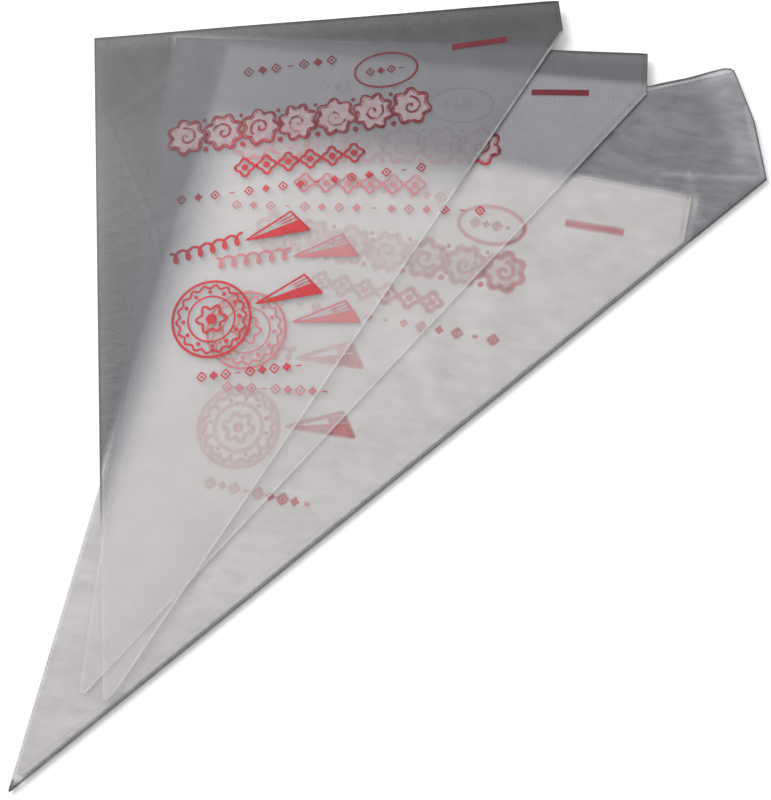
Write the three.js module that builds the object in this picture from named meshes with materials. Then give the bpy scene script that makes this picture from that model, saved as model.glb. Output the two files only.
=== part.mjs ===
// A fan of flat, disposable film piping bags lying on their pack: two loose bags turned out over a film
// sleeve that still holds a pile of the same bags.
// Millimetres, +Z up. Every bag lies flat, its tip towards -Y and its open mouth towards +Y.
import * as THREE from "three";

// Film. A ply is drawn thicker than real film so that each one is a solid.
const plyThickness = 0.2;
const packedPitch = 0.3; // from ply to ply where bags are pressed together in the sleeve
const loosePitch = 0.5; // from ply to ply in a loose bag
const looseGap = 0.3; // under each loose bag
const sleeveSlack = 0.2; // between the pile and the sleeve's front panel
const edgeGap = 0.3; // between a panel and the fold or the weld beside it

// One piping bag. It is laid out with its tip at the origin and its folded edge along +Y.
const tipAngle = THREE.MathUtils.degToRad(38.3);
const foldLength = 254;
const mouthWidth = 182.5;
const mouthDrop = 6.3; // the mouth is this much lower at the weld's side
const foldWidth = 0.6;
const weldWidth = 1.6;

// The loose bag on top opens along a crease down the middle of each panel.
const creaseGap = 0.15; // each side of the crease
const openEdgeGap = 1.3; // the back panel's weld side, which parts from the weld as the bag opens

// The sleeve, laid out as a bag is.
const sleeveFoldLength = 293.5;
const sleeveWeldWidth = 0.8;
const sleeveShoulder = 264; // height where the welded edge ends
const sleeveCorner = { outX: 201, outY: 286, topX: 190.6, topY: 306, mouthX: 162 };
const sleeveLip = 3; // the front panel stops this much short of the back panel at the mouth

// Where each tip lies, and how far each bag is turned anticlockwise.
const sleevePlace = { x: -125, y: -133.6, turn: -12.4 };
const topBagPlace = { x: -93.1, y: -106, turn: 5.8 };
const middleBagPlace = { x: -102.6, y: -103.5, turn: -3.8 };
// Bags in the sleeve, uppermost first: slid this far up from the sleeve's tip, and turned a little.
const packedBags = [
  { name: "bag_3", slide: 4, turn: 0 },
  { name: "bag_4", slide: 5.6, turn: 0.12 },
  { name: "bag_5", slide: 4.6, turn: -0.06 },
  { name: "bag_6", slide: 6.4, turn: -0.14 },
];

const filmFinish = { color: 0x8c8b90, roughness: 0.32, metalness: 0, transparent: true, opacity: 0.75 };
const packFinish = { color: 0xc9c5c5, roughness: 0.4, metalness: 0, transparent: true, opacity: 0.9 };
const sleeveFinish = { color: 0xa4a4a8, roughness: 0.25, metalness: 0, transparent: true, opacity: 0.6 };
const seamFinish = { color: 0xd6d4d5, roughness: 0.3, metalness: 0 };

// Keeps the part of an outline where point . normal >= offset.
function clip(outline, normal, offset) {
  const kept = [];
  outline.forEach((from, i) => {
    const to = outline[(i + 1) % outline.length];
    const a = from.dot(normal) - offset;
    const b = to.dot(normal) - offset;
    if (a >= 0) kept.push(from);
    if (a * b < 0) kept.push(from.clone().lerp(to, a / (a - b)));
  });
  return kept;
}

const alongTip = (angle) => new THREE.Vector2(Math.sin(angle), Math.cos(angle));
const fromFold = new THREE.Vector2(1, 0);
const fromWeld = new THREE.Vector2(-Math.cos(tipAngle), Math.sin(tipAngle));
const weldTop = (x) => x / Math.tan(tipAngle);

const bagOutline = [
  new THREE.Vector2(0, 0),
  new THREE.Vector2(mouthWidth, weldTop(mouthWidth)),
  new THREE.Vector2(mouthWidth, foldLength - mouthDrop),
  new THREE.Vector2(0, foldLength),
];

// lip lowers the mouth edge.
function sleeveOutline(lip) {
  const c = sleeveCorner;
  return [
    new THREE.Vector2(0, 0),
    new THREE.Vector2(sleeveShoulder * Math.tan(tipAngle), sleeveShoulder),
    new THREE.Vector2(c.outX, c.outY - lip),
    new THREE.Vector2(c.topX, c.topY - lip),
    new THREE.Vector2(c.mouthX, sleeveFoldLength - lip),
    new THREE.Vector2(0, sleeveFoldLength - lip),
  ];
}

function plate(outline, bottom, height) {
  const made = new THREE.ExtrudeGeometry(new THREE.Shape(outline), { depth: height, bevelEnabled: false });
  return made.translate(0, 0, bottom);
}

function addPlate(group, name, outline, bottom, height, finish) {
  const piece = new THREE.Mesh(plate(outline, bottom, height), new THREE.MeshStandardMaterial(finish));
  piece.name = name;
  group.add(piece);
}

// The folded edge and the weld join the two plies, so each is as high as both.
function addEdges(group, name, outline, bottom, height, weld) {
  const foldStart = (weld + foldWidth + edgeGap) / Math.sin(tipAngle);
  const foldLine = clip(clip(outline, fromFold.clone().negate(), -foldWidth), new THREE.Vector2(0, 1), foldStart);
  addPlate(group, name + "_folded_edge", foldLine, bottom, height, seamFinish);
  const shoulder = outline[1].y;
  const welded = clip(outline, fromWeld.clone().negate(), -weld);
  const weldLine = clip(welded, new THREE.Vector2(0, -1), -shoulder);
  addPlate(group, name + "_side_weld", weldLine, bottom, height, seamFinish);
}

// A panel's outline, clear of the fold and of the weld.
function panelOutline(outline, weld, weldGap = edgeGap) {
  return clip(clip(outline, fromFold, foldWidth + edgeGap), fromWeld, weld + weldGap);
}

function addBag(name, place, bottom, pitch, finish) {
  const bag = new THREE.Group();
  bag.position.set(place.x, place.y, 0);
  bag.rotation.z = THREE.MathUtils.degToRad(place.turn);
  const panel = panelOutline(bagOutline, weldWidth);
  addPlate(bag, name + "_back_panel", panel, bottom, plyThickness, finish);
  addPlate(bag, name + "_front_panel", panel, bottom + pitch, plyThickness, finish);
  addEdges(bag, name, bagOutline, bottom, pitch + plyThickness, weldWidth);
  return bag;
}

// The top bag's panels are each in two halves, which meet at a crease. The crease, the middle of the fold
// and the middle of the weld all run through one point at the tip.
function addOpeningBag(name, place, bottom, finish) {
  const bag = new THREE.Group();
  bag.position.set(place.x, place.y, 0);
  bag.rotation.z = THREE.MathUtils.degToRad(place.turn);
  const apexX = foldWidth / 2;
  const apexY = (weldWidth / 2 + apexX * Math.cos(tipAngle)) / Math.sin(tipAngle);
  const crease = alongTip(tipAngle / 2);
  const fromCrease = new THREE.Vector2(crease.y, -crease.x);
  const creaseOffset = fromCrease.dot(new THREE.Vector2(apexX, apexY));
  const halves = { weld_half: 1, fold_half: -1 };
  const plies = { back: openEdgeGap, front: edgeGap };
  Object.entries(plies).forEach(([side, weldGap], ply) => {
    const panel = panelOutline(bagOutline, weldWidth, weldGap);
    for (const [half, sign] of Object.entries(halves)) {
      const normal = fromCrease.clone().multiplyScalar(sign);
      const outline = clip(panel, normal, sign * creaseOffset + creaseGap);
      addPlate(bag, `${name}_${side}_${half}`, outline, bottom + ply * loosePitch, plyThickness, finish);
    }
  });
  addEdges(bag, name, bagOutline, bottom, loosePitch + plyThickness, weldWidth);
  return bag;
}

// The sleeve with its pile. The back panel lies on the table and the front panel on the pile.
function addSleeve() {
  const sleeve = new THREE.Group();
  sleeve.position.set(sleevePlace.x, sleevePlace.y, 0);
  sleeve.rotation.z = THREE.MathUtils.degToRad(sleevePlace.turn);
  const pileTop = packedBags.length * 2 * packedPitch + plyThickness;
  const frontBottom = pileTop + sleeveSlack;
  const panels = { back: [0, 0], front: [sleeveLip, frontBottom] };
  for (const [side, [lip, bottom]] of Object.entries(panels)) {
    const outline = panelOutline(sleeveOutline(lip), sleeveWeldWidth);
    addPlate(sleeve, `sleeve_${side}_panel`, outline, bottom, plyThickness, sleeveFinish);
  }
  addEdges(sleeve, "sleeve", sleeveOutline(sleeveLip), 0, frontBottom + plyThickness, sleeveWeldWidth);
  const middle = alongTip(tipAngle / 2);
  packedBags.forEach(({ name, slide, turn }, i) => {
    const place = { x: middle.x * slide, y: middle.y * slide, turn };
    const bottom = packedPitch + (packedBags.length - 1 - i) * 2 * packedPitch;
    sleeve.add(addBag(name, place, bottom, packedPitch, packFinish));
  });
  return { sleeve, top: frontBottom + plyThickness };
}

const fan = new THREE.Group();
const { sleeve, top } = addSleeve();
fan.add(sleeve);
const middleBottom = top + looseGap;
const topBottom = middleBottom + loosePitch + plyThickness + looseGap;
fan.add(addBag("bag_2", middleBagPlace, middleBottom, loosePitch, filmFinish));
fan.add(addOpeningBag("bag_1", topBagPlace, topBottom, filmFinish));

// The origin is on the table, under the middle of the whole fan.
const middleOfFan = new THREE.Box3().setFromObject(fan, true).getCenter(new THREE.Vector3());
fan.position.set(-middleOfFan.x, -middleOfFan.y, 0);
const group = new THREE.Group();
group.add(fan);

export default group;
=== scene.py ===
import math
import bpy
import numpy as np
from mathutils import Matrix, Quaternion, Vector


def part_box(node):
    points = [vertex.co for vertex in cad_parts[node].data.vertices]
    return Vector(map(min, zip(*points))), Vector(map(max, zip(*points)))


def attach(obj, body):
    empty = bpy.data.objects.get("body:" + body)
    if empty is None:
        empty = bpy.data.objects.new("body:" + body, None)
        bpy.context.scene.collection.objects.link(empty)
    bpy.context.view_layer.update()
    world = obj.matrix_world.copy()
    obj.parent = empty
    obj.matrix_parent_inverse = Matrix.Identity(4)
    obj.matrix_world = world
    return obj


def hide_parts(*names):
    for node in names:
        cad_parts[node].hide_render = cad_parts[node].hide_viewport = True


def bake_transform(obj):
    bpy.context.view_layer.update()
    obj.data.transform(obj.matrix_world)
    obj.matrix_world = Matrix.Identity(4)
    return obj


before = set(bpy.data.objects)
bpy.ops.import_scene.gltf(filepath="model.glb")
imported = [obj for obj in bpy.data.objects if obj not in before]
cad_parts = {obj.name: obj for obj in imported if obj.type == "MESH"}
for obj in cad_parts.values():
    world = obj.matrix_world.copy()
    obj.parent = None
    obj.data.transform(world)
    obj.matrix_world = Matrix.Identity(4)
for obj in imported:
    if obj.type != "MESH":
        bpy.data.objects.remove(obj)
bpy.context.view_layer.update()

# A fan of flat film piping bags on the sleeve that holds more of them.
# Flat shapes are worked out in millimetres, in a bag's own layout: tip at 0,0 and folded edge up the y axis.

mm = 0.001
scene = bpy.context.scene
scene.view_settings.view_transform = "Standard"  # whites stay white
scene.cycles.transparent_max_bounces = 32  # light reaches the lowest of many film plies


def ease(value, low, high):
    share = np.clip((value - low) / (high - low), 0, 1)
    return share * share * (3 - 2 * share)


def mix(a, b, share):
    return a + (b - a) * share


def along(path, shares):  # the points at these shares of a path's length
    path = np.array(path, float)
    marks = pathMarks(path)
    return np.stack([np.interp(shares, marks, path[:, k]) for k in (0, 1)], -1)


def pathMarks(path):
    steps = np.hypot(*np.diff(np.array(path, float), axis=0).T)
    return np.concatenate([[0], np.cumsum(steps)]) / steps.sum()


def turned(points, place):  # from a bag's layout to the table, both in mm
    turn = place["turn"]
    spin = np.array([[math.cos(turn), math.sin(turn)], [-math.sin(turn), math.cos(turn)]])
    return np.asarray(points) @ spin + place["tip"]


def unturned(points, place):
    turn = place["turn"]
    spin = np.array([[math.cos(turn), -math.sin(turn)], [math.sin(turn), math.cos(turn)]])
    return (np.asarray(points) - place["tip"]) @ spin


tipAngle = math.radians(38.3)
bagCut = {
    "foldLength": 254.0,
    "side": [(0, 0), (182.5, 182.5 / math.tan(tipAngle)), (182.5, 247.7)],
    "mouth": [(0, 254.0), (182.5, 247.7)],
    "weld": 1.6,
    "frameFold": 254.0,  # how far up the CAD's folded edge reaches
}
topBagCut = {  # the top bag's mouth is cut a little more aslant
    **bagCut, "foldLength": 258.5,
    "side": [*bagCut["side"][:2], (182.5, 244.5)],
    "mouth": [(0, 258.5), (182.5, 244.5)],
}
sleeveCut = {
    "foldLength": 285.0,
    "side": [(0, 0), (264 * math.tan(tipAngle), 264.0), (201, 286), (190.6, 306)],
    "mouth": [(0, 285.0), (162, 293.5), (190.6, 306)],
    "weld": 0.8,
    "frameFold": 290.5,
}


def leftOf(points, start, end):  # distance to the left of a line
    start, run = np.array(start, float), np.subtract(end, start)
    return (run[0] * (points[..., 1] - start[1]) - run[1] * (points[..., 0] - start[0])) / math.hypot(*run)


def sideGap(points, cut):  # distance in from the welded side
    pairs = zip(cut["side"], cut["side"][1:])
    return np.min([leftOf(points, start, end) for start, end in pairs], axis=0)


def mouthGap(points, cut):  # distance in from the mouth
    pairs = zip(cut["mouth"], cut["mouth"][1:])
    return np.max([-leftOf(points, start, end) for start, end in pairs], axis=0)


def insideGap(points, cut):
    return np.minimum(np.minimum(points[..., 0], sideGap(points, cut)), mouthGap(points, cut))


def foldPlace(name, cut):  # a bag's tip and turn, read from its folded edge in the frame
    points = np.array([v.co[:2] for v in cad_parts[name + "_folded_edge"].data.vertices]) / mm
    run = np.linalg.svd(points - points.mean(0))[2][0]
    run = run if run[1] > 0 else -run
    for step in range(2):
        across = np.array([run[1], -run[0]])
        edge = points[points @ across < (points @ across).min() + 0.2]
        low, high = edge[(edge @ run).argmin()], edge[(edge @ run).argmax()]
        run = (high - low) / math.hypot(*(high - low))
    return {"tip": high - run * cut["frameFold"], "turn": math.atan2(-run[0], run[1])}


def plyHeights(back, front):  # middle heights of two plies, in mm
    return [sum(corner[2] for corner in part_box(node)) / 2 / mm for node in (back, front)]


def creaseHeights(points, look):  # many short straight ridges and hollows, as thin film takes when handled
    rng = np.random.default_rng(look["seed"])
    total = np.zeros(points.shape[:-1])
    for number in range(look["count"]):
        centre = rng.uniform(look["low"], look["high"])
        heading = math.radians(rng.normal(look["heading"], look["spread"]))
        length = rng.uniform(*look["length"])
        width = rng.uniform(*look["width"])
        height = rng.uniform(-1, 1) * look["height"]
        dx, dy = points[..., 0] - centre[0], points[..., 1] - centre[1]
        on = dx * math.cos(heading) + dy * math.sin(heading)
        off = dy * math.cos(heading) - dx * math.sin(heading)
        off = off + 0.002 * on * on * rng.uniform(-1, 1)
        ridge = np.maximum(0, 1 - np.abs(off) / width)
        total += height * ridge * np.maximum(0, 1 - (on / length) ** 2)
    return total


def waveHeights(points, look):
    rng = np.random.default_rng(look["seed"] + 1)
    total = np.zeros(points.shape[:-1])
    for number in range(5):
        heading = rng.uniform(0, math.pi)
        pitch = rng.uniform(*look["wavePitch"])
        phase = rng.uniform(0, 2 * math.pi)
        on = points[..., 0] * math.cos(heading) + points[..., 1] * math.sin(heading)
        total += np.sin(on * 2 * math.pi / pitch + phase) * look["waveHeight"] / 5
    return total


def crumple(points, look):  # held between the look's lowest and highest, so that plies stay apart
    raw = creaseHeights(points, look) + waveHeights(points, look)
    down, up = look["down"], look["up"]
    return np.where(raw < 0, -down * np.tanh(-raw / down), up * np.tanh(raw / up))


leastPlyGap = 0.02  # mm from the middle at which a ply stays beside its weld
edgeCalm = 4.0  # mm in from an edge over which the crumple grows


def lyingFilm(points, film, side):  # height in mm of one ply; side is 0 for the back and 1 for the front
    cut = film["cut"]
    back, front = film["heights"]
    middle, half = (back + front) / 2, (front - back) / 2
    inFold, inSide = points[..., 0], sideGap(points, cut) - cut["weld"]
    roundFold = np.sqrt(1 - (1 - np.clip(inFold / film["foldRadius"], 0, 1)) ** 2)
    roundSide = np.sqrt(1 - (1 - np.clip(inSide / film["sideRadius"], 0, 1)) ** 2)
    free = ease(inFold, 0, edgeCalm) * ease(inSide, 0, edgeCalm)
    look = film["crumple"][side]
    height = crumple(points, look) * free
    for line in look.get("lines", []):
        height = height + foldLine(points, line) * line["height"] * free
    if "corner" in look:
        height = height + cornerCrumple(points, look["corner"]) * free
    apart = np.maximum(half * roundFold * roundSide, leastPlyGap * (inFold > 0))
    return middle + (2 * side - 1) * apart + height


def cornerCrumple(points, corner):  # the sleeve's empty mouth corner, pushed up into facets
    rng = np.random.default_rng(corner["seed"])
    seeds = rng.uniform(corner["low"], corner["high"], (corner["count"], 2))
    facets = np.linalg.norm(points[..., None, :] - seeds, axis=-1).min(-1) / corner["pitch"]
    return ease(points[..., 1], *corner["from"]) * corner["height"] * facets


def foldLine(points, line):  # 1 on a sharp crease between two points, 0 away from it
    start, end = np.array(line["start"], float), np.array(line["end"], float)
    share = np.clip((points - start) @ (end - start) / ((end - start) @ (end - start)), 0, 1)
    off = np.linalg.norm(points - mix(start, end, share[..., None]), axis=-1)
    return np.maximum(0, 1 - off / line["width"])


# Film looks paler where more film lies under it.
def zoneLook(points, film):
    tone = np.full(points.shape[:-1], film["alone"][0])
    veil = np.full(points.shape[:-1], film["alone"][1])
    pile = np.full(points.shape[:-1], film["pile"])
    height = unturned(points, film["place"])[..., 1]
    tone = tone * mix(1, film["mouthShade"], ease(height, *film["mouthBand"]))
    for under, newTone, newVeil, soft, spread in film["over"]:
        other = films[under]
        local = unturned(points, other["place"])
        taper = np.clip(local[..., 1] / film["sharpBelow"], film["sharpest"], 1)  # sharper towards the tip
        share = ease(insideGap(local, other["cut"]) + spread * taper, -soft * taper, soft * taper)
        tone, veil = mix(tone, newTone, share), mix(veil, newVeil, share)
        if under == "bag_3":
            pile = share
    if "ear" in film:  # the welded ear of the sleeve's mouth doubles back and looks paler
        ear = film["ear"]
        local = unturned(points, film["place"])
        share = ease(local[..., 1], *ear["from"]) * (1 - ease(sideGap(local, film["cut"]), *ear["width"]))
        tone = mix(tone, ear["tone"], share)
    return tone, veil, pile


def newPiece(name, points, faces, values=(), uv=None):
    mesh = bpy.data.meshes.new(name)
    mesh.from_pydata((np.asarray(points) * mm).tolist(), [], faces)
    piece = bpy.data.objects.new(name, mesh)
    scene.collection.objects.link(piece)
    for key, numbers in dict(values).items():
        mesh.attributes.new(key, "FLOAT", "POINT").data.foreach_set("value", np.float32(numbers))
    if uv is not None:
        corners = np.zeros(len(mesh.loops), np.int32)
        mesh.loops.foreach_get("vertex_index", corners)
        mesh.uv_layers.new(name="FilmLayout").data.foreach_set("uv", np.float32(uv)[corners].ravel())
    mesh.polygons.foreach_set("use_smooth", [True] * len(mesh.polygons))
    return piece


def gridFaces(rows, columns, first=0, flip=False):
    start = first + np.arange(rows - 1)[:, None] * columns + np.arange(columns - 1)
    quads = np.stack([start, start + 1, start + columns + 1, start + columns], -1).reshape(-1, 4)
    return (quads[:, ::-1] if flip else quads).tolist()


def plyPoints(film, rows, columns):  # one panel's grid, with more columns round the fold and beside the weld
    cut = film["cut"]
    marks = pathMarks(cut["side"])
    shares = [np.array([film["tipShare"]])]
    for low, high in zip(marks, marks[1:]):
        count = max(2, round((high - low) * rows))
        shares.append(np.linspace(max(low, film["tipShare"]), high, count + 1)[1:])
    shares = np.concatenate(shares)
    left, right = along([(0, 0), (0, cut["foldLength"])], shares), along(cut["side"], shares)
    width = np.hypot(*(right - left).T)[:, None]
    bend = 1 - np.cos(np.linspace(0, math.pi / 2, film["bendSteps"]))
    nearFold = film["foldRadius"] * bend
    nearSide = np.concatenate([[0], cut["weld"] + film["sideRadius"] * bend])
    room = np.minimum(1, width / (2 * (nearFold[-1] + nearSide[-1])))
    steps = np.linspace(0, 1, columns)[1:-1]
    low, high = nearFold[-1] * room, width - nearSide[-1] * room
    reach = np.hstack([nearFold * room, mix(low, high, steps), width - nearSide[::-1] * room])
    across = (reach / width)[..., None]
    points = mix(left[:, None], right[:, None], across)
    swing = along(cut["mouth"], across[-1, :, 0]) - points[-1]
    return points + shares[:, None, None] ** film["mouthReach"] * swing


layoutSize = 650.0  # mm of flat film across the whole UV square
layoutTip = (0.5, 0.1)  # where the tip stands in that square


def layoutUv(points, side):  # the sheet unfolded, with the back panel to the left of the fold
    x = points[:, 0] * (1 if side else -1)
    return np.stack([layoutTip[0] + x / layoutSize, layoutTip[1] + points[:, 1] / layoutSize], -1)


def filmSheet(name, film, sides, rows, columns):
    flat = plyPoints(film, rows, columns)
    shape = flat.shape[:2]
    flat = flat.reshape(-1, 2)
    table = turned(flat, film["place"])
    tone, veil, pile = zoneLook(table, film)
    points, faces, uv = [], [], []
    for side in sides:
        height = lyingFilm(flat, film, side)
        faces += gridFaces(*shape, first=len(points) * len(flat), flip=not side)
        points.append(np.column_stack([table, height]))
        uv.append(layoutUv(flat, side))
    # ridge: painted highlight on the raised creases and painted shade in their hollows; each line's pale adds
    # a painted highlight along that crease, painted shade where negative
    look = film["crumple"][1]
    ridge = np.clip(creaseHeights(flat, look) / look["height"], -1, 1)
    for line in look.get("lines", []):
        ridge = ridge + foldLine(flat, line) * line["pale"]
    # rimHidden moves the mouth out of reach of the painted edge shade nearer the fold than rimHiddenUpTo
    hidden = 1 - ease(flat[:, 0], *film["rimHiddenUpTo"])
    values = {
        "tone": tone, "veil": veil, "pile": pile, "ridge": ridge,
        "mouthGap": mouthGap(flat, film["cut"]) + film["rimHidden"] * hidden,
        "sideGap": sideGap(flat, film["cut"]), "foldGap": flat[:, 0],
    }
    values = {key: np.tile(numbers, len(sides)) for key, numbers in values.items()}
    piece = newPiece(name, np.concatenate(points), faces, values, np.concatenate(uv))
    if len(sides) == 2:  # one sheet, folded: the two plies share the fold's line
        bpy.ops.object.select_all(action="DESELECT")
        bpy.context.view_layer.objects.active = piece
        piece.select_set(True)
        weldDoubles(piece, 0.00001)
    return piece


def weldDoubles(piece, gap):
    bpy.ops.object.mode_set(mode="EDIT")
    bpy.ops.mesh.select_all(action="SELECT")
    bpy.ops.mesh.remove_doubles(threshold=gap)
    bpy.ops.object.mode_set(mode="OBJECT")


def apply(piece, kind, **settings):
    bpy.ops.object.select_all(action="DESELECT")
    bpy.context.view_layer.objects.active = piece
    piece.select_set(True)
    modifier = piece.modifiers.new(kind.title(), kind)
    for key, value in settings.items():
        setattr(modifier, key, value)
    bpy.ops.object.modifier_apply(modifier=modifier.name)


def edgeStrip(name, film, start, end, inward, strip):  # a narrow flat strip, crimped across, along one edge
    length = math.hypot(*np.subtract(end, start))
    rows = round(length / strip["crimpPitch"] * 4)
    bpy.ops.object.select_all(action="DESELECT")
    bpy.ops.mesh.primitive_grid_add(x_subdivisions=3, y_subdivisions=rows, size=1)
    piece = bpy.context.active_object
    piece.name = piece.data.name = name
    grid = np.array([v.co for v in piece.data.vertices]) + 0.5
    share = grid[:, 1:2]
    flat = mix(np.array(start, float), np.array(end, float), share)
    flat = flat + grid[:, :1] * np.array(inward) * strip["width"]
    middle = sum(film["heights"]) / 2
    crimp = strip["crimp"] * np.sin(grid[:, 1] * length * 2 * math.pi / strip["crimpPitch"])
    points = np.column_stack([turned(flat, film["place"]), middle + crimp])
    piece.data.vertices.foreach_set("co", (points * mm).ravel())
    pile = zoneLook(points[:, :2], film)[2]
    for key in ("tone", "veil"):
        numbers = np.float32(mix(*strip[key], pile))
        piece.data.attributes.new(key, "FLOAT", "POINT").data.foreach_set("value", numbers)
    apply(piece, "SOLIDIFY", thickness=strip["thickness"] * mm, offset=0)
    bpy.ops.object.mode_set(mode="EDIT")
    bpy.ops.mesh.select_all(action="SELECT")
    bpy.ops.mesh.normals_make_consistent(inside=False)
    bpy.ops.object.mode_set(mode="OBJECT")
    bpy.ops.object.shade_smooth_by_angle(angle=math.radians(40))
    return piece


class Signal:  # a node's output that works in sums
    def __init__(self, recipe, socket):
        self.recipe, self.socket = recipe, socket

    def calc(self, operation, *values):
        return self.recipe.add("ShaderNodeMath", {"operation": operation}, dict(enumerate(values)))

    def __add__(self, other):
        return self.calc("ADD", self, other)

    def __sub__(self, other):
        return self.calc("SUBTRACT", self, other)

    def __rsub__(self, other):
        return self.calc("SUBTRACT", other, self)

    def __mul__(self, other):
        return self.calc("MULTIPLY", self, other)

    __radd__ = __add__
    __rmul__ = __mul__


class Recipe:
    def __init__(self, name):
        self.material = bpy.data.materials.new(name)
        self.material.use_nodes = True
        self.tree = self.material.node_tree
        self.tree.nodes.clear()

    def add(self, kind, settings={}, inputs={}, output=0):
        node = self.tree.nodes.new(kind)
        for key, value in settings.items():
            setattr(node, key, value)
        for key, value in inputs.items():
            if isinstance(value, Signal):
                self.tree.links.new(value.socket, node.inputs[key])
            else:
                node.inputs[key].default_value = value
        return Signal(self, node.outputs[output]) if node.outputs else None

    def number(self, name):  # a piece's own attribute
        return self.add("ShaderNodeAttribute", {"attribute_name": name}, output="Fac")

    def step(self, value, low, high, start=0.0, end=1.0):
        sockets = {"Value": value, "From Min": low, "From Max": high, "To Min": start, "To Max": end}
        return self.add("ShaderNodeMapRange", {"interpolation_type": "SMOOTHSTEP"}, sockets)

    def layout(self):  # flat millimetres along the film
        uv = self.add("ShaderNodeTexCoord", output="UV")
        return self.add("ShaderNodeVectorMath", {"operation": "SCALE"}, {0: uv, "Scale": layoutSize})

    def noise(self, vector, pitch, detail=2.0, distortion=0.0):
        sockets = {"Vector": vector, "Scale": 1 / pitch, "Detail": detail, "Distortion": distortion}
        return self.add("ShaderNodeTexNoise", {}, sockets)

    def blend(self, share, first, second):
        return self.add("ShaderNodeMix", {"data_type": "RGBA"}, {0: share, 6: first, 7: second}, output=2)

    def scaled(self, colour, amount):
        return self.add("ShaderNodeVectorMath", {"operation": "SCALE"}, {0: colour, "Scale": amount})

    def bump(self, height, distance, strength, normal=None):
        sockets = {"Height": height, "Distance": distance * mm, "Strength": strength}
        if normal:
            sockets["Normal"] = normal
        return self.add("ShaderNodeBump", {}, sockets)

    def finish(self, sockets):
        shader = self.add("ShaderNodeBsdfPrincipled", {}, sockets)
        self.add("ShaderNodeOutputMaterial", {}, {"Surface": shader})
        return self.material


def filmMaterial(name, look):
    recipe = Recipe(name)
    layout = recipe.layout()
    tone, veil, pile = (recipe.number(key) for key in ("tone", "veil", "pile"))
    cloud = recipe.noise(layout, look["cloudPitch"], 3.0)
    streak = recipe.noise(
        recipe.add("ShaderNodeMapping", {}, {"Vector": layout, "Rotation": (0, 0, look["streakTurn"]),
                                             "Scale": (1, look["streakStretch"], 1)}),
        look["streakPitch"], 4.0, 0.4)
    dots = recipe.add("ShaderNodeTexVoronoi", {}, {"Vector": layout, "Scale": 1 / look["dotPitch"],
                                                   "Randomness": look["dotScatter"]})
    ridge = recipe.number("ridge")
    # painted crinkle shading: the colour is lightened and darkened with the clouds and streaks that also bump
    # the film, along the crease ridges and on the embossed dots
    crinkleShading = 1 + (cloud - 0.5) * look["cloud"] + (streak - 0.5) * look["streak"] + ridge * look["ridge"]
    crinkleShading = crinkleShading + (dots - 0.4) * look["dot"]
    # painted edge shade: a narrow rim along the film's mouth, fold and side is darkened, and rimVeil makes it
    # less see-through; rimOverPile weakens it over the pile
    edgeShades = [recipe.step(recipe.number(key), width * 0.4, width, 1.0, 0.0) * depth
             for key, width, depth in look["edgeShades"]]
    rim = edgeShades[0]
    for edge in edgeShades[1:]:
        rim = rim.calc("MAXIMUM", rim, edge)
    rim = rim * (1 - pile * look["rimOverPile"])
    shade = tone * crinkleShading * (1 - rim)
    tint = recipe.blend(pile, look["coolTint"], look["warmTint"])
    colour = recipe.scaled(tint, shade)
    alpha = veil + rim * look["rimVeil"]
    alpha = alpha.calc("MINIMUM", alpha, 1.0)
    fine = recipe.bump(dots, look["dotDepth"], 0.5)
    normal = recipe.bump(streak + cloud, look["bumpDepth"], 0.6, fine)
    return recipe.finish({
        "Base Color": colour, "Alpha": alpha, "Normal": normal,
        "Roughness": recipe.step(cloud, 0.3, 0.7, look["roughness"] - 0.06, look["roughness"] + 0.06),
        "Specular IOR Level": look["specular"],
    })


filmLook = {
    "cloudPitch": 38, "cloud": 0.22,
    "streakPitch": 9, "streakStretch": 2.0, "streakTurn": -0.9, "streak": 0.1,
    # dot and ridge set the painted shading on the embossed dots and the painted highlight on crease ridges
    "dotPitch": 1.5, "dotScatter": 0.35, "dot": 0.22, "dotDepth": 0.08,  # the embossed dots
    "bumpDepth": 0.5, "ridge": 0.06,
    # edgeShades: attribute, width in mm and depth of the painted dark shade along each film edge
    "edgeShades": [("mouthGap", 1.1, 0.55), ("foldGap", 0.9, 0.35), ("sideGap", 0.6, 0.4)],
    "rimVeil": 0.5, "rimOverPile": 0.8, "roughness": 0.42, "specular": 0.35,
    "coolTint": (0.975, 0.96, 1.04, 1), "warmTint": (1.02, 0.985, 0.98, 1),
}
sleeveLook = {
    # strong painted crinkle shading and crease highlight on the crumpled sleeve
    **filmLook, "cloudPitch": 20, "cloud": 0.75,
    "streakPitch": 10, "streakStretch": 2.6, "streakTurn": 0.6, "streak": 0.9,
    "dot": 0.02, "dotDepth": 0.01, "bumpDepth": 1.6, "ridge": 0.14, "roughness": 0.3, "specular": 0.5,
    # painted edge shade of the sleeve, darkest along its side
    "edgeShades": [("mouthGap", 1.3, 0.6), ("sideGap", 0.5, 0.75), ("foldGap", 0.8, 0.5)], "rimOverPile": 0.0,
}
packLook = {
    **filmLook, "cloud": 0.1, "streak": 0.14, "streakPitch": 14, "dot": 0.03,
    # painted edge shade along the mouth only
    "edgeShades": [("mouthGap", 0.8, 0.25)], "roughness": 0.5,
}


def seamMaterial(name, colour):
    recipe = Recipe(name)
    place = recipe.add("ShaderNodeTexCoord", output="Object")
    # one mottle makes the strip lighter and darker, paler toward white, and bumps it
    weldMottle = recipe.add("ShaderNodeTexNoise", {}, {"Vector": place, "Scale": 240.0, "Detail": 3.0})
    shade = recipe.number("tone") * recipe.step(weldMottle, 0.3, 0.7, 0.8, 1.08)
    return recipe.finish({
        "Base Color": recipe.scaled(recipe.blend(weldMottle, colour, (1, 1, 1, 1)), shade),
        "Roughness": 0.34,
        "Alpha": recipe.number("veil"), "Normal": recipe.bump(weldMottle, 0.15, 0.5),
    })


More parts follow.
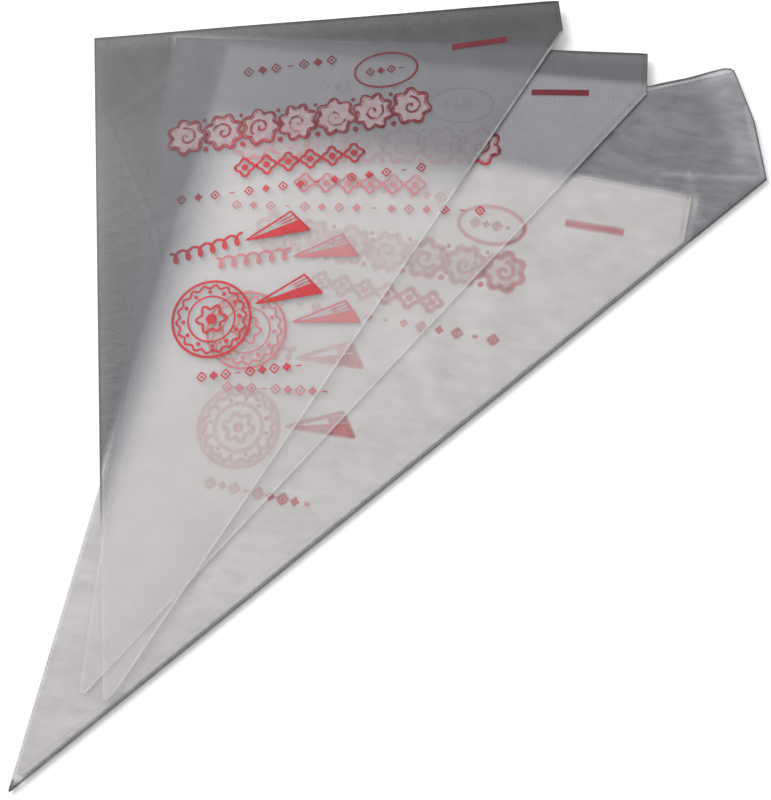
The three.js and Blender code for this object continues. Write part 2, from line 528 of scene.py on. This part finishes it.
def inkMaterial(name, ink):  # printed ink: thin, a little uneven, darker over bare grey film
    recipe = Recipe(name)
    layout = recipe.layout()
    speck = recipe.noise(layout, ink["speckPitch"], 3.0)
    colour = recipe.blend(recipe.number("pile"), ink["overFilm"], ink["overPile"])
    colour = recipe.blend(recipe.number("pale"), colour, ink["pale"])
    cover = recipe.number("cover") * recipe.step(speck, 0.25, 0.5, ink["thin"], ink["full"])
    return recipe.finish({
        "Base Color": recipe.scaled(colour, recipe.step(speck, 0.2, 0.8, 0.85, 1.12)),
        "Alpha": cover, "Roughness": 0.45, "Specular IOR Level": 0.3,
    })


def arcPoints(centre, radiusX, radiusY, wave=0.0, lobes=1, steps=64, phase=0.0):
    angle = np.linspace(0, 2 * math.pi, steps, endpoint=False) + phase
    reach = 1 + wave * np.cos(lobes * (angle - phase))
    x, y = radiusX * reach * np.cos(angle), radiusY * reach * np.sin(angle)
    return np.stack([centre[0] + x, centre[1] + y], -1)


def refine(path, step):
    path = np.array(path, float)
    length = np.hypot(*np.diff(path, axis=0).T).sum()
    marks = pathMarks(path)
    even = np.linspace(0, 1, max(2, round(length / step) + 1))
    return along(path, np.unique(np.concatenate([marks, even])))


class Print:  # collects flat strokes and fills, each with a cover value that fades at soft rims
    def __init__(self, soft):
        self.soft = soft
        self.points, self.faces, self.cover, self.pale = [], [], [], []

    def stroke(self, path, width, closed=False, strength=1.0):
        path = np.vstack([path, path[:1]]) if closed else np.asarray(path, float)
        path = refine(path, printCut["step"])
        run = np.gradient(path, axis=0)
        if closed:
            run[0] = run[-1] = (path[1] - path[-2]) / 2
        across = np.stack([-run[:, 1], run[:, 0]], -1) / np.maximum(np.hypot(*run.T), 1e-9)[:, None]
        if self.soft:
            offsets = np.array([-1, -0.5, 0, 0.5, 1]) * (width / 2 + self.soft)
            cover = np.array([0, 0.55, 0.85, 0.55, 0]) * strength
        else:
            offsets, cover = np.array([-1, 1]) * width / 2, np.array([1, 1]) * strength
        grid = path[:, None] + across[:, None] * offsets[:, None]
        self.faces += gridFaces(len(path), len(offsets), sum(map(len, self.points)), flip=True)
        self.points.append(grid.reshape(-1, 2))
        self.cover.append(np.tile(cover, len(path)))
        self.pale.append(np.zeros(grid.shape[0] * grid.shape[1]))

    def fill(self, corners, strength=1.0, rings=4, pale=0.0):  # a filled outline, as rings round its middle
        corners = refine(np.vstack([corners, corners[:1]]), printCut["step"])[:-1]
        middle = corners.mean(0)
        first = sum(map(len, self.points))
        shares = np.linspace(0.02, 1, rings)
        cover = np.full(rings, strength)
        if self.soft:
            shares = np.append(shares[:-1], [0.9, 1.12])
            cover = np.append(np.full(rings, strength), 0)
        rim = np.vstack([corners, corners[:1]])
        grid = np.concatenate([mix(middle, rim, share) for share in shares])
        self.faces += gridFaces(len(shares), len(rim), first, flip=True)
        self.points.append(grid)
        self.cover.append(np.repeat(cover, len(rim)))
        self.pale.append(np.full(len(grid), pale))


printCut = {
    "step": 1.0, "lift": 0.07, "line": 0.75, "dash": (140.5, 161.5, 231.0, 2.4),
    "oval": (114.7, 225.4, 12.0, 7.2), "garland": (29.0, 130.0, 208.5, 7), "rosette": 6.5,
    "rows": [(59, 97, 233, 3.6, 7), (30, 127.5, 182.7, 3.2, 15), (36, 76, 112, 3.4, 9)],
    "boldRow": (54, 104, 192.5, 6.2, 6), "script": (28, 56, 161),
    "cones": [((57, 162.7), (74.5, 172), (81, 163.8)), ((59.4, 137.4), (78, 146.3), (83.9, 138.5))],
    "seal": (42.7, 133.6, 14.5),
}


def printShapes(soft):
    ink = Print(soft)
    low, high, y, width = printCut["dash"]
    ink.stroke([(low, y), (high, y)], width)
    x, y, radiusX, radiusY = printCut["oval"]
    ink.stroke(arcPoints((x, y), radiusX, radiusY), printCut["line"], closed=True)
    markRow(ink, x - 8, x + 8, y, 3.0, 4)
    low, high, y, count = printCut["garland"]
    pitch = (high - low) / count
    for number in range(count):
        rosette(ink, (low + (number + 0.5) * pitch, y), printCut["rosette"], number)
    for number in range(1, count):
        ink.fill(arcPoints((low + number * pitch, y - 6.2), 1.1, 1.1, steps=12))
        ink.fill(arcPoints((low + number * pitch, y + 6.2), 0.8, 0.8, steps=12))
    for row in printCut["rows"]:
        markRow(ink, *row)
    boldRow(ink, *printCut["boldRow"])
    flourish(ink, *printCut["script"])
    for cone in printCut["cones"]:
        halfCone(ink, *np.array(cone, float))
    seal(ink, *printCut["seal"])
    return ink


def rosette(ink, centre, size, number):  # a piped star seen from above
    lobes = 7 + number % 2
    ink.stroke(arcPoints(centre, size, size, 0.13, lobes, 96, number * 0.4), 1.5, closed=True)
    turn = np.linspace(0.3, 2.6 * math.pi, 40)
    reach = turn / turn[-1] * size * 0.62
    spiral = np.stack([np.cos(turn + number) * reach, np.sin(turn + number) * reach], -1)
    ink.stroke(spiral + np.array(centre), 1.0)
    ink.fill(arcPoints(centre, size, size, 0.13, lobes, 48, number * 0.4), 0.42, 5, pale=1.0)


def markRow(ink, low, high, y, size, count):  # a border of plain diamonds, dots and dashes
    pitch = (high - low) / count
    for number in range(count):
        x = low + (number + 0.5) * pitch
        if number % 5 == 3:
            ink.stroke([(x - size * 0.3, y), (x + size * 0.3, y)], 0.5, strength=0.8)
        elif number % 2:
            ink.fill(arcPoints((x, y), size * 0.42, size * 0.42, 0.2, 4, 16), 0.85, 3)
        else:
            ink.stroke(arcPoints((x, y), size * 0.52, size * 0.52, steps=4), 0.55, closed=True, strength=0.9)
            ink.fill(arcPoints((x, y), size * 0.16, size * 0.16, steps=8), 0.85, 3)


def boldRow(ink, low, high, y, size, count):
    pitch = (high - low) / count
    for number in range(count):
        centre = (low + (number + 0.5) * pitch, y)
        ink.stroke(arcPoints(centre, size * 0.5, size * 0.5, 0.2, 4, 40), 1.0, closed=True)
        ink.fill(arcPoints(centre, size * 0.22, size * 0.22, steps=12))


def flourish(ink, low, high, y):
    share = np.linspace(0, 1, 60)
    x = mix(low, high, share) + 1.6 * np.sin(share * 12 * math.pi)
    ink.stroke(np.stack([x, y + mix(-2, 3, share) + 2.2 * np.cos(share * 12 * math.pi)], -1), 1.0)


def halfCone(ink, tip, top, bottom):
    middle = (top + bottom) / 2
    ink.stroke([tip, top, bottom], printCut["line"], closed=True)
    ink.fill([tip, mix(middle, top, 0.1), bottom])
    for share in (0.35, 0.65):
        rim = mix(top, middle, share)
        ink.stroke([mix(tip, rim, 0.72), rim], 0.4)


def seal(ink, x, y, radius):
    ink.stroke(arcPoints((x, y), radius, radius), 1.0, closed=True)
    ink.stroke(arcPoints((x, y), radius * 0.86, radius * 0.86, 0.05, 18, 180), 0.8, closed=True)
    ink.stroke(arcPoints((x, y), radius * 0.6, radius * 0.6), 0.7, closed=True)
    for spot in arcPoints((x, y), radius * 0.72, radius * 0.72, steps=12):
        ink.fill(arcPoints(spot, 0.8, 0.8, steps=10))
    ink.stroke(arcPoints((x, y), radius * 0.32, radius * 0.32, 0.2, 6, 60), 0.9, closed=True)
    ink.fill(arcPoints((x, y), radius * 0.14, radius * 0.14, steps=14))


def printPiece(name, film, soft, material):
    ink = printShapes(soft)
    flat = np.concatenate(ink.points)
    table = turned(flat, film["place"])
    height = lyingFilm(flat, film, 1) + printCut["lift"]
    pile = zoneLook(table, film)[2]
    values = {"cover": np.concatenate(ink.cover), "pale": np.concatenate(ink.pale), "pile": pile}
    piece = newPiece(name, np.column_stack([table, height]), ink.faces, values, layoutUv(flat, 1))
    piece.data.materials.append(material)
    return piece


looseCrumple = {
    "seed": 3, "count": 70, "low": (0, 0), "high": (185, 250), "heading": 62, "spread": 50,
    "length": (12, 55), "width": (2.5, 9), "height": 0.16, "wavePitch": (50, 120), "waveHeight": 0.2,
    "down": 0.17, "up": 0.17,
}
# crease lines: pale is the painted highlight along each crease, painted shade where negative
topBagLines = [{"start": (4, 222), "end": (23, 172), "width": 1.1, "height": 0.25, "pale": 1.6},
               {"start": (23, 172), "end": (26, 140), "width": 0.9, "height": 0.2, "pale": 1.0},
               {"start": (2, 196), "end": (20, 181), "width": 1.4, "height": -0.1, "pale": -0.8}]
packCrumple = {**looseCrumple, "height": 0.06, "waveHeight": 0.05, "down": 0.07, "up": 0.07}
sleeveCrumple = {
    **looseCrumple, "seed": 21, "count": 150, "high": (208, 300), "length": (8, 40), "width": (1.5, 6),
    "heading": 40, "height": 0.2, "down": 0.15, "up": 0.18,
    # creases round the sleeve's mouth corner, each with a painted highlight (pale), painted shade where
    # negative
    "lines": [{"start": (172, 259.5), "end": (208, 263.7), "width": 1.6, "height": 0.08, "pale": 3.5},
              {"start": (197, 291), "end": (207, 265), "width": 1.3, "height": 0.08, "pale": 3.0},
              {"start": (181, 262), "end": (189, 241), "width": 1.2, "height": 0.08, "pale": 3.0},
              {"start": (150, 270), "end": (172, 289), "width": 1.5, "height": -0.1, "pale": -1.2}],
}
mouthCorner = {"seed": 5, "low": (150, 280), "high": (215, 312), "count": 12, "pitch": 9, "from": (287, 302),
               "height": 1.3}
baseFilm = {
    "cut": bagCut, "foldRadius": 0.24, "sideRadius": 0.6, "tipShare": 0.012, "bendSteps": 4, "mouthReach": 12,
    # rimHidden: mm by which the painted mouth-edge shade is held off, nearer the fold than rimHiddenUpTo
    "rimHidden": 0.0, "rimHiddenUpTo": (140, 165), "mouthBand": (205, 252),
    "sharpBelow": 240, "sharpest": 0.05,
}
films = {  # alone: tone and veil over the table; over: what lies under, tone, veil, softness, spread
    "sleeve": {**baseFilm, "cut": sleeveCut, "foldRadius": 1.1, "sideRadius": 0.45, "tipShare": 0.003,
               "rimHidden": 5.0, "sharpBelow": 1,
               "ear": {"from": (262, 270), "width": (6, 15), "tone": 0.3},
               "heights": plyHeights("sleeve_back_panel", "sleeve_front_panel"),
               "crumple": ({**sleeveCrumple, "seed": 31, "height": 0.05, "down": 0.05, "up": 0.05},
                           {**sleeveCrumple, "corner": mouthCorner}),
               "alone": (0.195, 0.76), "mouthShade": 1.0, "pile": 0.0,
               "over": [("bag_3", 0.6, 0.2, 0.8, 1.7)]},
    "bag_2": {**baseFilm, "heights": plyHeights("bag_2_back_panel", "bag_2_front_panel"),
              "crumple": ({**looseCrumple, "seed": 7}, {**looseCrumple, "seed": 8}),
              "alone": (0.125, 0.8), "mouthShade": 0.95, "pile": 0.0,
              "over": [("sleeve", 0.3, 0.6, 1.5, 0), ("bag_3", 0.66, 0.13, 4, -1)]},
    "bag_1": {**baseFilm, "cut": topBagCut,
              "heights": plyHeights("bag_1_back_fold_half", "bag_1_front_fold_half"),
              "crumple": ({**looseCrumple, "seed": 11},
                          {**looseCrumple, "seed": 12, "up": 0.7, "height": 0.3, "lines": topBagLines}),
              "alone": (0.105, 0.79), "mouthShade": 0.56, "pile": 0.0,
              "over": [("bag_2", 0.155, 0.55, 2, 0), ("sleeve", 0.24, 0.45, 3, 0),
                       ("bag_3", 0.66, 0.13, 13, -10)]},
}
for number in range(3, 7):
    name = f"bag_{number}"
    films[name] = {**baseFilm, "foldRadius": 0.14, "sideRadius": 0.4,
                   "heights": plyHeights(name + "_back_panel", name + "_front_panel"),
                   "crumple": ({**packCrumple, "seed": 40 + number}, {**packCrumple, "seed": 50 + number}),
                   "alone": (0.455, 0.88), "mouthShade": 1.0, "pile": 1.0, "over": []}
for name, film in films.items():
    film["place"] = foldPlace(name, film["cut"])


view = {"lens": 49.5, "distance": 0.385, "tilt": math.radians(16.9), "towards": math.radians(114.5),
        "target": (-0.00516, -0.01264, 0.0035)}


def addCamera():
    camera = bpy.data.objects.new("Camera", bpy.data.cameras.new("Camera"))
    scene.collection.objects.link(camera)
    camera.data.lens = view["lens"]
    camera.data.sensor_width = 36
    axis = Vector((-math.sin(view["towards"]), math.cos(view["towards"]), 0))
    turn = Quaternion(axis, -view["tilt"])
    camera.rotation_mode = "QUATERNION"
    camera.rotation_quaternion = turn
    camera.location = Vector(view["target"]) + turn @ Vector((0, 0, view["distance"]))
    camera.data.clip_start = 0.01
    scene.camera = camera


studio = {
    "world": 0.86, "key": 4.2, "keySize": 0.5, "keyAt": (-0.38, 0.38, 0.52),
    "floor": (0.93, 0.93, 0.93), "floorSize": 3,
}


def addStudio():
    world = bpy.data.worlds.new("Studio")
    scene.world = world
    world.use_nodes = True
    world.node_tree.nodes["Background"].inputs["Color"].default_value = (1, 1, 1, 1)
    world.node_tree.nodes["Background"].inputs["Strength"].default_value = studio["world"]
    key = bpy.data.objects.new("Key", bpy.data.lights.new("Key", "AREA"))
    scene.collection.objects.link(key)
    key.data.energy = studio["key"]
    key.data.size = studio["keySize"]
    key.location = studio["keyAt"]
    key.rotation_mode = "QUATERNION"
    key.rotation_quaternion = (-Vector(studio["keyAt"])).to_track_quat("-Z", "Y")
    bpy.ops.object.select_all(action="DESELECT")
    bpy.ops.mesh.primitive_plane_add(size=studio["floorSize"], location=(0, 0, 0))
    floor = bpy.context.active_object
    floor.name = "Floor"
    recipe = Recipe("FloorPaper")
    floor.data.materials.append(recipe.finish({"Base Color": (*studio["floor"], 1), "Roughness": 0.9,
                                               "Specular IOR Level": 0.1}))


addCamera()
addStudio()
print("camera and studio set")


filmFinish = filmMaterial("BagFilm", filmLook)
sleeveFinish = filmMaterial("SleeveFilm", sleeveLook)
packFinish = filmMaterial("PackedFilm", packLook)
seamFinish = seamMaterial("WeldedFilm", (0.97, 0.965, 1, 1))
sharpInk = {"speckPitch": 2.5, "overFilm": (0.115, 0.008, 0.014, 1), "overPile": (0.42, 0.012, 0.02, 1),
            "pale": (0.5, 0.36, 0.37, 1), "thin": 0.85, "full": 1.0}
inkFinish = inkMaterial("PrintInk", sharpInk)
softInkFinish = inkMaterial("PrintInkUnderSleeve", {**sharpInk, "thin": 0.6, "full": 0.8})

# tone and veil of a strip: away from the pile, then over it
weldStrip = {
    "width": 0.8, "thickness": 0.26, "crimp": 0.03, "crimpPitch": 1.6,
    "tone": (0.3, 0.66), "veil": (0.75, 0.16), "tipGap": 3.5,
}
packedStrip = {**weldStrip, "tone": (0.5, 0.5), "veil": (0.6, 0.6)}
# the sleeve's side strip is painted dark: painted shadow and shade along the sleeve's outer edge
sleeveStrip = {**weldStrip, "thickness": 0.3, "tone": (0.12, 0.2), "veil": (0.9, 0.8)}
# the fold strip is dark away from the pile: painted shade along the fold
foldStrip = {
    "width": 0.55, "thickness": 0.4, "crimp": 0.0, "crimpPitch": 8.0,
    "tone": (0.1, 0.6), "veil": (1, 0.08), "tipGap": 3,
}


def addWeld(name, film, body, strip):
    cut = film["cut"]
    run = np.array(cut["side"][1]) / math.hypot(*cut["side"][1])
    inward = (-run[1], run[0])
    piece = edgeStrip(name, film, run * strip["tipGap"], cut["side"][1], inward, strip)
    piece.data.materials.append(seamFinish)
    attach(piece, body)
    return piece


def addFoldedSheet(name, finish, detail, strip, printed=None):
    film = films[name]
    piece = filmSheet(name + "_film", film, (0, 1), *detail)
    piece.data.materials.append(finish)
    weld = addWeld(name + "_weld", film, name, strip)
    if printed:
        ink = printPiece(name + "_print", film, *printed)
        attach(ink, name)
    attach(piece, name)
    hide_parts(name + "_back_panel", name + "_front_panel", name + "_folded_edge")
    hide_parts(name + "_side_weld")
    cut = film["cut"]
    flat = (2 * max(x for x, y in cut["side"]) * mm, max(y for x, y in cut["side"] + cut["mouth"]) * mm)
    return piece


looseDetail = (240, 150)  # rows and columns of a loose bag's grid
sleeveFilm = addFoldedSheet("sleeve", sleeveFinish, (250, 160), sleeveStrip)
print("sleeve made")
below = sleeveFilm
for number in (6, 5, 4, 3):
    fine = number == 3
    detail = (220, 130) if fine else (90, 60)  # only the uppermost one shows
    printed = (0.75, softInkFinish) if fine else None
    below = addFoldedSheet(f"bag_{number}", packFinish, detail, packedStrip, printed)
print("packed bags made")
middlePrint = (0, inkFinish)
middleFilm = addFoldedSheet("bag_2", filmFinish, looseDetail, weldStrip,
                            middlePrint)
print("middle bag made")


def addOpeningBag():
    film = films["bag_1"]
    front = filmSheet("bag_1_front_film", film, (1,), *looseDetail)
    back = filmSheet("bag_1_back_film", film, (0,), *looseDetail)
    ink = printPiece("bag_1_print", film, 0, inkFinish)
    for piece in (front, back):
        piece.data.materials.append(filmFinish)
    weld = addWeld("bag_1_weld", film, "bag_1_front_weld_side", weldStrip)
    top = (0, film["cut"]["foldLength"])
    fold = edgeStrip("bag_1_fold", film, (0, foldStrip["tipGap"]), top, (1, 0), foldStrip)
    fold.data.materials.append(seamFinish)
    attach(fold, "bag_1")
    for piece in (front, ink):
        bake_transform(piece)
    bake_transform(back)
    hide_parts("bag_1_front_fold_half", "bag_1_front_weld_half")
    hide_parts("bag_1_back_fold_half", "bag_1_back_weld_half")
    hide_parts("bag_1_side_weld")
    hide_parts("bag_1_folded_edge")
    flat = (topBagCut["side"][-1][0] * mm, topBagCut["foldLength"] * mm)


addOpeningBag()
print("top bag made")
